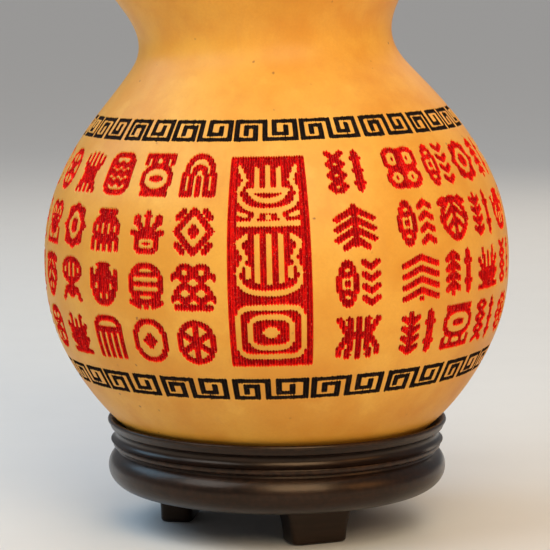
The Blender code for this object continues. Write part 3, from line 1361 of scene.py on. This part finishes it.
@dataclass(frozen=True, kw_only=True)
class InkFinish(WaxedFinish):
    """Rind whose cuts are filled with paint or scorched."""

    name: str
    # deep: the paint's colour where the cut is deepest, a painted shade in the grooves, also used
    # for random clouds; ridge: its colour where the cut is shallow.
    deep: Colour
    ridge: Colour
    # worn: the colour of chips where the paint wore, which in the red also stand in as painted
    # glints; wear: how many chips show.
    chip_and_glint: Colour
    chip_glint_share: float

    def material(self, groups: SkinGroups) -> bpy.types.Material:
        """Makes the material, which reads the attributes cut and floor of a carved shell.

        Args:
            groups: the skin's node groups.

        Returns:
            The material.
        """
        material, wire, shader = new_material(self.name)
        rind = self.rind(wire, groups)
        given = {
            "Place": wire.place(), "Cut": wire.attribute("cut"), "Floor": wire.attribute("floor"),
            "Groove Shade And Mottle": self.deep, "Ridge": self.ridge, "Chip And Glint": self.chip_and_glint, "Chip Glint Share": self.chip_glint_share,
        }  # fmt: skip
        node = wire.add("ShaderNodeGroup", {}, node_tree=groups.paint)
        wire.feed(node, given)
        paint, mask = node.outputs, node.outputs["Mask"]
        rough = wire.between(mask, rind["Roughness"], paint["Roughness"])
        wire.put(shader.inputs["Base Color"], wire.blend(mask, rind["Colour"], paint["Colour"]))
        wire.put(shader.inputs["Roughness"], rough)
        self.wax(wire, shader, mask, wire.between(mask, rind["Height"], paint["Height"]))
        return material


@dataclass(frozen=True)
class LacquerFinish:
    """Nearly black satin lacquer over turned wood, rubbed brown on its proud edges."""

    dark: Colour = (0.0036, 0.0020, 0.0016)
    brown: Colour = (0.0100, 0.0042, 0.0028)
    rubbed: Colour = (0.048, 0.019, 0.010)
    rubbed_share: float = 0.7
    gloss: float = 0.34
    gloss_tint: Colour = (1.0, 0.66, 0.42)
    coat: float = 0.12
    coat_roughness: float = 0.20
    relief: float = 0.00007

    def material(self) -> bpy.types.Material:
        """Makes the material, which reads the attribute edge: 1 where the form is proud.

        Returns:
            The material.
        """
        material, wire, shader = new_material("dark_lacquer")
        place = wire.place()
        grain = wire.noise(place, 900.0, 4.0, (0.10, 0.10, 1.0))
        cloud = wire.noise(place, 90.0, 3.0)
        pores = wire.noise(place, 2600.0, 2.0, (0.25, 0.25, 1.0))
        scuffs = wire.noise(place, 700.0, 4.0)
        colour = wire.blend(wire.ramp(grain, 0.35, 0.7), self.dark, self.brown)
        colour = wire.blend(wire.ramp(cloud, 0.5, 0.75, 0.0, 0.5), colour, self.brown)
        rub = wire.times(wire.attribute("edge"), wire.ramp(scuffs, 0.38, 0.66))
        colour = wire.blend(wire.times(rub, self.rubbed_share), colour, self.rubbed)
        wire.put(shader.inputs["Base Color"], colour)
        wire.put(shader.inputs["Roughness"], wire.ramp(cloud, 0.3, 0.7, 0.28, 0.38))
        shader.inputs["Specular IOR Level"].default_value = self.gloss
        shader.inputs["Specular Tint"].default_value = (*self.gloss_tint, 1.0)
        shader.inputs["Coat Weight"].default_value = self.coat
        shader.inputs["Coat Roughness"].default_value = self.coat_roughness
        height = wire.plus(wire.times(grain, 0.7), wire.times(pores, 0.3))
        wire.put(shader.inputs["Normal"], wire.bump(height, self.relief))
        return material


# ---------------------------------------------------------------- the gourd's pieces


@dataclass
class Belt:
    """The heights up the fruit at which the carved shells meet, and the channel's depth."""

    top: float = 100.4
    band_top: float = 92.9
    row_edges: tuple[float, ...] = (81.5, 69.5, 57.3)
    band_bottom: float = 45.0
    bottom: float = 36.0
    channel_depth: float = 1.7


@dataclass
class GourdBody:
    """The fruit with its stalk, channelled where the carved shells sit."""

    form: GourdForm
    cutter: Cutter
    belt: Belt
    columns: int = 264
    step: float = 1.15
    stalk_step: float = 0.55
    channel_step: float = 6.0
    cut_end_gap: float = 0.25
    scar_gap: float = 0.4
    stalk_overlap: float = 2.0
    bark_span: Pair = (-2.5, 5.0)

    def rows(self) -> tuple[np.ndarray, np.ndarray]:
        """Spaces out the rows of points, from the stalk's cut end down to the blossom scar.

        Returns:
            The arc length and the sink of each row.
        """
        form, belt = self.form, self.belt
        top, bottom = form.arcs[-1] - self.cut_end_gap, form.arcs[0] + self.scar_gap
        stalk = form.arc_at(form.stalk_start - self.stalk_overlap)
        high, low = form.arc_at(belt.top), form.arc_at(belt.bottom)
        spans = (
            (top, stalk, self.stalk_step, 0.0),
            (stalk, high, self.step, 0.0),
            (high, low, self.channel_step, belt.channel_depth),
            (low, bottom, self.step, 0.0),
        )
        arcs, sinks = [], []
        for start, end, step, sink in spans:
            run = np.linspace(start, end, round((start - end) / step) + 1)
            run = run[1:] if start == stalk else run
            arcs.append(run)
            sinks.append(np.full(len(run), sink))
        return np.concatenate(arcs), np.concatenate(sinks)

    def build(self, material: bpy.types.Material) -> None:
        """Makes the body: a grid turned about the axis and closed at both poles.

        Args:
            material: the bare rind.
        """
        form = self.form
        arcs, sinks = self.rows()
        pitch = self.cutter.columns // self.columns
        azimuth = self.cutter.azimuth(np.arange(self.columns) * pitch)[None, :]
        grid = form.surface(azimuth, arcs[:, None], sinks[:, None])
        poles = form.surface(0.0, form.arcs[[-1, 0]], 0.0)
        poles[:, :2] = grid[[0, -1]].mean(axis=1)[:, :2]
        level = np.interp(arcs, form.arcs, form.levels)
        start, end = (form.stalk_start + rise for rise in self.bark_span)
        stalk = np.repeat(smooth_step(level, start, end), self.columns)
        layers = {"stalk": np.concatenate([stalk, [1.0, 0.0]])}
        places = np.concatenate([grid.reshape(-1, 3), poles])
        faces = turned_faces(len(arcs), self.columns)
        dress(make_piece("gourd_body", places, faces, layers), material, SKIN_SLOT, "gourd")


@dataclass(kw_only=True)
class Carving:
    """Something cut into one shell of the belly; edges are the shell's lower and upper height."""

    name: str
    form: GourdForm
    cutter: Cutter
    edges: Pair
    row_step: int = 5

    def shell(self, first: int, last: int, **mesh: object) -> CarvedShell:
        """The bare shell from its first column to its last, with its own mesh settings."""
        low, high = (self.form.arc_at(level) for level in self.edges)
        return CarvedShell(self.form, self.cutter, low, high, first, last, self.row_step, **mesh)

    def blank(self) -> CarvedShell:
        """The bare shell, right round the fruit."""
        return self.shell(0, self.cutter.columns)

    def draw(self, canvas: Canvas) -> None:
        """Switches the cutter on where the carving goes."""
        raise NotImplementedError

    def build(self, material: bpy.types.Material) -> None:
        """Makes the carved shell.

        Args:
            material: the inked rind.
        """
        shell = self.blank()
        canvas = shell.canvas()
        self.draw(canvas)
        dress(shell.build(self.name, canvas), material, SKIN_SLOT, "gourd")


@dataclass(kw_only=True)
class FretBand(Carving):
    """A ring of angular running scrolls between two heights up the fruit.

    The path gives one scroll's turns, as shares of its width and of the band's height. Shift
    turns the ring by a share of a scroll. Level is the thickness of the scrolls' level legs, and
    grooves the width of their uprights in columns.
    """

    low: float
    high: float
    units: int
    shift: float
    level: float = 1.02
    grooves: int = 2
    row_step: int = 4
    path: tuple[Pair, ...] = (
        (0.17, 0.30), (0.17, 0.70), (0.325, 0.70), (0.325, 0.0), (0.035, 0.0), (0.035, 1.0),
        (0.46, 1.0), (0.46, 0.0), (0.915, 0.0), (0.915, 1.0), (0.60, 1.0), (0.60, 0.29),
        (0.765, 0.29), (0.765, 0.68),
    )  # fmt: skip

    def draw(self, canvas: Canvas) -> None:
        """Switches the cutter on along the path: uprights in whole grooves, and level legs.

        Args:
            canvas: the shell's blank canvas.
        """
        low = self.form.arc_at(self.low) + self.level / 2
        high = self.form.arc_at(self.high) - self.level / 2
        around = self.cutter.columns
        rise = (canvas.heights - low) / (high - low)
        tall = self.level / 2 / (high - low)
        for unit in range(self.units):
            for (x0, y0), (x1, y1) in zip(self.path, self.path[1:]):
                start, end = (
                    round((unit + x + self.shift) / self.units * around)
                    for x in sorted((x0, x1))
                )
                columns = np.arange(start, end + self.grooves) % around
                legs = (rise > min(y0, y1) - tall) & (rise < max(y0, y1) + tall)
                canvas.on[:, columns] |= legs[:, None]


@dataclass(kw_only=True)
class MarkRow(Carving):
    """A row of small ornaments round the belly, to the right and left of the framed panel.

    Firsts, second and pitches are degrees of azimuth. On the right the first mark stands apart
    from the others. Columns are the marks' widths and half the panel's, in grooves.
    """

    number: int
    middle: float
    half_height: float = 5.2
    line: float = 1.42
    right_first: float = 20.2
    right_second: float = 36.7
    right_pitch: float = 13.1
    right_count: int = 12
    right_columns: int = 16
    left_first: float = -17.5
    left_pitch: float = 12.8
    left_count: int = 13
    left_columns: int = 14
    panel_columns: int = 17
    row_shift: int = 7
    seed: int = 23

    def blank(self) -> CarvedShell:
        """The bare shell, open where the panel stands."""
        return self.shell(self.panel_columns, self.cutter.columns - self.panel_columns)

    def places(self) -> list[tuple[int, int]]:
        """Spaces out the marks, going round to the right.

        Returns:
            The middle column of each mark and its width in columns.
        """
        right = [self.right_second + self.right_pitch * i for i in range(self.right_count - 1)]
        left = [360.0 + self.left_first - self.left_pitch * i for i in range(self.left_count)]
        degrees = [self.right_first, *right, *reversed(left)]
        widths = [self.right_columns] * self.right_count + [self.left_columns] * self.left_count
        middles = (round(angle / 360.0 * self.cutter.columns) for angle in degrees)
        return list(zip(middles, widths))

    def draw(self, canvas: Canvas) -> None:
        """Draws an ornament in each place; those beside or above each other are never alike.

        Args:
            canvas: the shell's blank canvas.
        """
        dice = np.random.default_rng(self.seed)
        single, double = list(Ornament), list(Duet)
        dice.shuffle(single)
        dice.shuffle(double)
        above = canvas.heights[:, None] - self.form.arc_at(self.middle)
        inside = np.abs(above) < self.half_height + self.cutter.fine
        up = self.half_height - self.line / 2
        for place, (column, width) in enumerate(self.places()):
            two = width == self.right_columns and (place + self.number) % 2 == 0
            kinds = double if two else single
            step = place + self.row_shift * self.number
            kind = kinds[(step // 2 if two else step) % len(kinds)]
            flipped = -1.0 if (step // len(kinds) + self.number + place // 5) % 2 else 1.0
            half = width * self.cutter.groove_width / 2
            part = canvas.span(column, half + 0.01)
            x = canvas.across(part, column)
            sheet = Sheet(x, flipped * above, half - self.line / 2, up, self.line)
            canvas.on[:, part] |= kind.covers(sheet) & inside


@dataclass(kw_only=True)
class CentrePanel(Carving):
    """The tall framed panel at the front: a painted ground round three ornaments left standing.

    Each section gives an ornament's middle, measured down from the panel's top, and half its
    height.
    """

    low: float = 46.0
    high: float = 91.1
    columns: int = 29
    margin_columns: int = 4
    border: float = 1.75
    line: float = 1.2
    row_step: int = 3
    samples: int = 6
    sections: tuple[Pair, ...] = ((9.1, 7.2), (24.4, 6.9), (39.2, 6.2))
    bowl_of_buds: tuple[Stroke, ...] = (
        Line(0, 0.98, 0, 0.2), Line(0.4, 0.92, 0.36, 0.2), Line(0.97, 0.98, 0.76, 0.52),
        Line(0.76, 0.52, 0.97, 0.12), Line(0, 0.16, 0.62, 0.16), cup(0, 0.14, 0.97, 0.68, 2.5),
        cup(0, 0.12, 0.55, 0.32), Line(0, -0.97, 0.95, -0.97), Line(0.3, -0.56, 0.5, -0.95),
        dot(0, -0.76, 0.12, 0.09), Line(0.72, -0.7, 0.98, -0.62, 0.8),
    )  # fmt: skip
    lyre: tuple[Stroke, ...] = (
        cup(0, -0.28, 0.97, 0.70, 2.6), Line(0.97, -0.28, 0.74, 0.25), Line(0.74, 0.25, 0.97, 0.75),
        Line(0.97, 0.75, 0.68, 0.98), Line(0, 0.98, 0, -0.6), Line(0.35, 0.98, 0.35, -0.55),
        Line(0.66, -0.1, 0.66, -0.4),
    )  # fmt: skip
    nest: tuple[Stroke, ...] = (
        Loop(0, 0, 0.99, 0.99, 6), Loop(0, 0, 0.64, 0.62, 3.5), dot(0, 0, 0.24, 0.22),
    )  # fmt: skip

    def blank(self) -> CarvedShell:
        """Sets up the bare shell, with a finer mesh than the rings'.

        Returns:
            The shell.
        """
        side = (self.columns + self.margin_columns) // 2 + 1
        shares = tuple(i / self.samples - 0.5 for i in range(self.samples))
        return self.shell(-side, side, shares=shares)

    def draw(self, canvas: Canvas) -> None:
        """Cuts the whole ground, less the three ornaments, which are stacked from the top down.

        Args:
            canvas: the shell's blank canvas.
        """
        low, high = self.form.arc_at(self.low), self.form.arc_at(self.high)
        half = self.columns * self.cutter.groove_width / 2
        x = np.abs(canvas.across(slice(0, canvas.columns), 0.0))
        heights = canvas.heights[:, None]
        canvas.on |= (x < half) & (heights > low) & (heights < high)
        across = half - self.border - self.line / 2
        ornaments = (self.bowl_of_buds, self.lyre, self.nest)
        for strokes, (down, tall) in zip(ornaments, self.sections):
            above = heights - (high - down)
            sheet = Sheet(x, above, across, tall - self.line / 2, self.line)
            canvas.on &= ~strokes_cover(strokes, sheet)


# ---------------------------------------------------------------- the stand's pieces


@dataclass(frozen=True)
class Arc:
    """A stretch of an ellipse, its angles in degrees from straight outwards."""

    middle: Pair
    across: float
    up: float
    start: float
    end: float
    count: int

    def points(self) -> np.ndarray:
        """Its points: the middle plus across * cos and up * sin of the angle.

        Returns:
            One row of radius and height for each point.
        """
        angle = np.radians(np.linspace(self.start, self.end, self.count))
        x = self.middle[0] + self.across * np.cos(angle)
        return np.stack([x, self.middle[1] + self.up * np.sin(angle)], axis=1)


@dataclass
class StandDish:
    """The turned dish: a hollow seat, a flared lip, a cove, a bead and a round bulge."""

    form: GourdForm
    seat_gap: float = 0.5
    seat_radius: float = 38.3
    seat_start: float = 0.5
    seat_top: float = 27.0
    seat_rows: int = 60
    lip: Arc = Arc((39.75, 25.25), 0.62, 0.62, 130, -60, 12)
    cove: Arc = Arc((41.6, 22.1), 3.2, 2.0, 128, 232, 14)
    bead: Arc = Arc((38.2, 19.7), 0.95, 0.95, 62, -55, 12)
    groove: Pair = (38.05, 18.5)
    bulge: Arc = Arc((34.85, 14.2), 5.4, 4.9, 52, -80, 40)
    lip_rub: float = 0.45
    bead_rub: float = 0.7
    bulge_rub: float = 0.25
    underside: float = 9.0
    underside_radii: tuple[float, ...] = (33.65, 20.0, 4.0)
    wobble: float = 0.0006
    steps: int = 288
    crease: float = 35.0

    def profile(self) -> tuple[np.ndarray, np.ndarray]:
        """The section from the seat's middle, over the lip and down to the underside.

        The seat is the fruit's outline moved outwards by the gap.

        Returns:
            The points' radii and heights, and how much each gets rubbed.
        """
        form = self.form
        start, end = form.arcs[0] + self.seat_start, form.arc_at(self.seat_top)
        arcs = np.linspace(start, end, self.seat_rows)
        radius, level, across, up = form.profile(arcs)
        seat = np.stack([radius + across * self.seat_gap, level + up * self.seat_gap], axis=1)
        parts = (
            (seat[seat[:, 0] < self.seat_radius], 0.0),
            (self.lip.points(), self.lip_rub),
            (self.cove.points(), 0.0),
            (self.bead.points(), self.bead_rub),
            (np.array([self.groove]), 0.0),
            (self.bulge.points(), self.bulge_rub),
            (np.array([(radius, self.underside) for radius in self.underside_radii]), 0.0),
        )
        points = np.concatenate([part for part, _ in parts])
        rubbed = np.concatenate([np.full(len(part), share) for part, share in parts])
        rubbed = np.convolve(np.pad(rubbed, 1, mode="edge"), [0.25, 0.5, 0.25], "valid")
        return points, rubbed

    def build(self, material: bpy.types.Material) -> None:
        """Makes the dish: the section turned about the axis, a little out of round.

        Args:
            material: the lacquer.
        """
        points, rubbed = self.profile()
        azimuth = np.linspace(0.0, math.tau, self.steps, endpoint=False)[None, :]
        radius = points[:, :1] * (1.0 + self.wobble * np.sin(2 * azimuth + 0.4))
        level = np.broadcast_to(points[:, 1:], radius.shape)
        grid = np.stack([radius * np.sin(azimuth), -radius * np.cos(azimuth), level], axis=-1)
        poles = np.array([[0.0, 0.0, points[0, 1]], [0.0, 0.0, self.underside]])
        places = np.concatenate([grid.reshape(-1, 3), poles])
        layers = {"edge": np.concatenate([np.repeat(rubbed, self.steps), [0.0, 0.0]])}
        faces = turned_faces(len(points), self.steps)
        piece = make_piece("turned_dish", places, faces, layers, self.crease)
        dress(piece, material, WOOD_SLOT, "stand_dish")


@dataclass
class Foot:
    """One tapered foot with round edges, its outer face square to the dish's radius."""

    name: str
    node: str
    angle: float
    height: float = 8.98
    outer: float = 28.0
    depth: float = 9.0
    top_width: float = 17.0
    bottom_width: float = 13.4
    inset: float = 0.6
    waist: float = 0.35
    rounding: float = 0.9
    rounding_rings: int = 7
    rings: int = 17
    ring_gap: float = 0.3
    face_inset: float = 2.7
    power: float = 7.0
    rub_start: float = 1.2
    rub_rate: float = 2.6
    rub: float = 0.6
    steps: int = 96

    def build(self, material: bpy.types.Material) -> None:
        """Makes the foot.

        Each level is a square with round corners, the curve |x/w|^p + |y/d|^p = 1. It shrinks
        towards the floor and draws in there along a quarter circle to a flat face. The corners,
        which stand out past rub_start, are rubbed.

        Args:
            material: the lacquer.
        """
        low_rings = np.linspace(0.0, self.rounding, self.rounding_rings)
        high_rings = np.linspace(self.rounding + self.ring_gap, self.height, self.rings)
        rise = np.concatenate([[0.0, 0.0], low_rings, high_rings])[::-1, None]
        share = rise / self.height
        low = np.clip(1.0 - rise / self.rounding, 0.0, 1.0)
        pull = self.rounding * (1.0 - np.sqrt(1.0 - low**2))
        pull[-1] = self.face_inset
        turn = np.linspace(0.0, math.tau, self.steps, endpoint=False)[None, :]
        cos, sin = np.cos(turn), np.sin(turn)
        shape = (np.abs(cos) ** self.power + np.abs(sin) ** self.power) ** (-1.0 / self.power)
        waist = self.waist * np.sin(share * math.pi)
        width = self.bottom_width + (self.top_width - self.bottom_width) * share
        wide = width / 2 - pull - waist
        deep = self.depth / 2 - self.inset * (1.0 - share) - pull - waist * 0.5
        x, y = wide * shape * cos, deep * shape * sin - self.outer + self.depth / 2
        turned = math.radians(self.angle)
        grid = np.stack([
            x * math.cos(turned) - y * math.sin(turned),
            x * math.sin(turned) + y * math.cos(turned),
            np.broadcast_to(rise, x.shape),
        ], axis=-1)  # fmt: skip
        places = np.concatenate([grid.reshape(-1, 3), grid[[0, -1]].mean(axis=1)])
        proud = (np.broadcast_to(shape, x.shape) - self.rub_start) * self.rub_rate
        edge = self.rub * np.clip(proud, 0.0, 1.0).ravel()
        layers = {"edge": np.concatenate([edge, [0.0, 0.0]])}
        piece = make_piece(self.name, places, turned_faces(len(rise), self.steps), layers)
        dress(piece, material, WOOD_SLOT, self.node)


# ---------------------------------------------------------------- the studio


@dataclass(frozen=True)
class SoftBox:
    """A square studio lamp that looks at one point. Places in millimetres, power in watts."""

    name: str
    place: Point
    size: float
    power: float
    colour: Colour

    def build(self, target: Point) -> None:
        """Adds the lamp.

        Args:
            target: the point that it looks at.
        """
        data = bpy.data.lights.new(self.name, "AREA")
        data.shape = "SQUARE"
        data.size = self.size * MM
        data.energy = self.power
        data.color = self.colour
        lamp = add_object(self.name, data)
        lamp.location = Vector(self.place) * MM
        direction = Vector(target) - Vector(self.place)
        lamp.rotation_euler = direction.to_track_quat("-Z", "Y").to_euler()


@dataclass
class Studio:
    """A pale floor, soft lamps, an even pale surround and the camera."""

    distance: float = 569.0
    eye_height: float = 130.2
    aside: float = -0.47
    tilt: float = 7.1
    lens: float = 158.0
    sensor: float = 36.0
    sight: Pair = (0.02, 200.0)
    floor_size: float = 60000.0
    floor_colour: Colour = (0.68, 0.655, 0.62)
    floor_shade: float = 0.96
    floor_roughness: float = 0.75
    surround: Colour = (0.80, 0.82, 0.86)
    surround_strength: float = 0.30
    target: Point = (0.0, 0.0, 75.0)
    lamps: tuple[SoftBox, ...] = (
        SoftBox("key_lamp", (190, -680, 600), 560, 5.9, (1.0, 0.84, 0.58)),
        SoftBox("cool_fill", (-520, -330, 640), 460, 2.8, (0.66, 0.82, 1.0)),
        SoftBox("warm_side_lamp", (620, -330, 330), 320, 0.7, (1.0, 0.52, 0.16)),
        SoftBox("cool_rim_lamp", (-640, 230, 560), 460, 2.3, (0.34, 0.66, 1.0)),
        SoftBox("back_lamp", (240, 700, 560), 500, 1.6, (1.0, 0.87, 0.70)),
    )
    ceiling_strength: float = 0.74
    ceiling_spread: float = math.radians(70.0)

    def build(self) -> None:
        """Sets up the floor, the lamps, the surround and the camera."""
        self.make_floor()
        self.make_light()
        self.make_camera()

    def make_floor(self) -> None:
        """A wide level floor with a faint unevenness of tone."""
        half = self.floor_size / 2
        corners = np.array([[-half, half, 0], [-half, -half, 0], [half, -half, 0], [half, half, 0]])
        floor = make_piece("floor", corners, [np.array([[0, 1, 2, 3]])], {})
        material, wire, shader = new_material("pale_floor")
        tone = wire.noise(wire.place(), 60.0, 3.0)
        darker = tuple(self.floor_shade * c for c in self.floor_colour)
        wire.put(shader.inputs["Base Color"], wire.blend(tone, self.floor_colour, darker))
        shader.inputs["Roughness"].default_value = self.floor_roughness
        floor.data.materials.append(material)

    def make_light(self) -> None:
        """The lamps, a broad glow from the ceiling and the surround."""
        for lamp in self.lamps:
            lamp.build(self.target)
        ceiling = bpy.data.lights.new("ceiling_glow", "SUN")
        ceiling.energy, ceiling.angle = self.ceiling_strength, self.ceiling_spread
        add_object("ceiling_glow", ceiling)
        world = bpy.data.worlds.new("studio_surround")
        world.use_nodes = True
        background = world.node_tree.nodes["Background"]
        background.inputs["Color"].default_value = (*self.surround, 1.0)
        background.inputs["Strength"].default_value = self.surround_strength
        bpy.context.scene.world = world
        bpy.context.scene.view_settings.view_transform = "Standard"

    def make_camera(self) -> None:
        """The camera, which looks a little down at the belly from the front."""
        data = bpy.data.cameras.new("camera")
        data.lens = self.lens
        data.sensor_width = self.sensor
        data.clip_start, data.clip_end = self.sight
        camera = add_object("camera", data)
        camera.location = Vector((self.aside, -self.distance, self.eye_height)) * MM
        camera.rotation_euler = (math.radians(90.0 - self.tilt), 0.0, 0.0)
        bpy.context.scene.camera = camera


# ---------------------------------------------------------------- all together


@dataclass
class BottleGourd:
    """The whole object: the fruit with its carving, and the stand under it."""

    form: GourdForm = field(default_factory=GourdForm)
    cutter: Cutter = Cutter()
    scorcher: Cutter = Cutter(tip=0.16, overrun=0.08, depth=0.32)
    belt: Belt = field(default_factory=Belt)
    red: InkFinish = InkFinish(
        name="red_carving",
        # Painted shade: the red where the cut is deepest.
        deep=(0.25, 0.0006, 0.002),
        ridge=(0.79, 0.006, 0.003),
        # Pale chips of worn paint that also stand in as painted glints.
        chip_and_glint=(0.88, 0.20, 0.11),
        chip_glint_share=0.6,
    )
    black: InkFinish = InkFinish(
        name="scorched_carving",
        # Painted shade: the black where the cut is deepest.
        deep=(0.005, 0.0032, 0.0025),
        ridge=(0.017, 0.009, 0.006),
        chip_and_glint=(0.17, 0.075, 0.06),
        chip_glint_share=0.45,
    )
    row_middles: tuple[float, ...] = (87.4, 75.55, 63.5, 51.2)
    foot_angles: tuple[tuple[str, str, float], ...] = (
        ("dish_foot_front", "foot_front", 21.7),
        ("dish_foot_left", "foot_left", -98.3),
        ("dish_foot_back", "foot_back", 141.7),
    )

    def build_fruit(self) -> None:
        """Builds the body, the two fret bands, the four rows and the panel."""
        belt = self.belt
        groups = SkinGroups()
        rind = RindFinish().material(groups)
        red, black = self.red.material(groups), self.black.material(groups)
        GourdBody(self.form, self.cutter, belt).build(rind)
        bands = (
            ("fret_band_upper", (belt.band_top, belt.top), 94.3, 98.8, 19, 0.47),
            ("fret_band_lower", (belt.bottom, belt.band_bottom), 38.0, 43.0, 18, 0.448),
        )
        fine = {"form": self.form, "cutter": self.scorcher}
        for name, edges, low, high, units, shift in bands:
            place = {"edges": edges, "low": low, "high": high}
            FretBand(name=name, units=units, shift=shift, **place, **fine).build(black)
        coarse = {"form": self.form, "cutter": self.cutter}
        levels = (belt.band_top, *belt.row_edges, belt.band_bottom)
        for number, middle in enumerate(self.row_middles):
            name, edges = f"ornament_row_{number + 1}", (levels[number + 1], levels[number])
            MarkRow(name=name, edges=edges, number=number, middle=middle, **coarse).build(red)
        edges = (belt.band_bottom, belt.band_top)
        CentrePanel(name="centre_panel", edges=edges, **coarse).build(red)

    def build_stand(self) -> None:
        """Builds the dish and its three feet."""
        lacquer = LacquerFinish().material()
        StandDish(self.form).build(lacquer)
        for name, node, angle in self.foot_angles:
            Foot(name, node, angle).build(lacquer)


def main() -> None:
    """Builds the object and the studio round it."""
    logging.basicConfig(level=logging.INFO, format="%(name)s: %(message)s")
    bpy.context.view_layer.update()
    gourd = BottleGourd()
    gourd.build_fruit()
    gourd.build_stand()
    Studio().build()


if __name__ == "__main__":
    main()
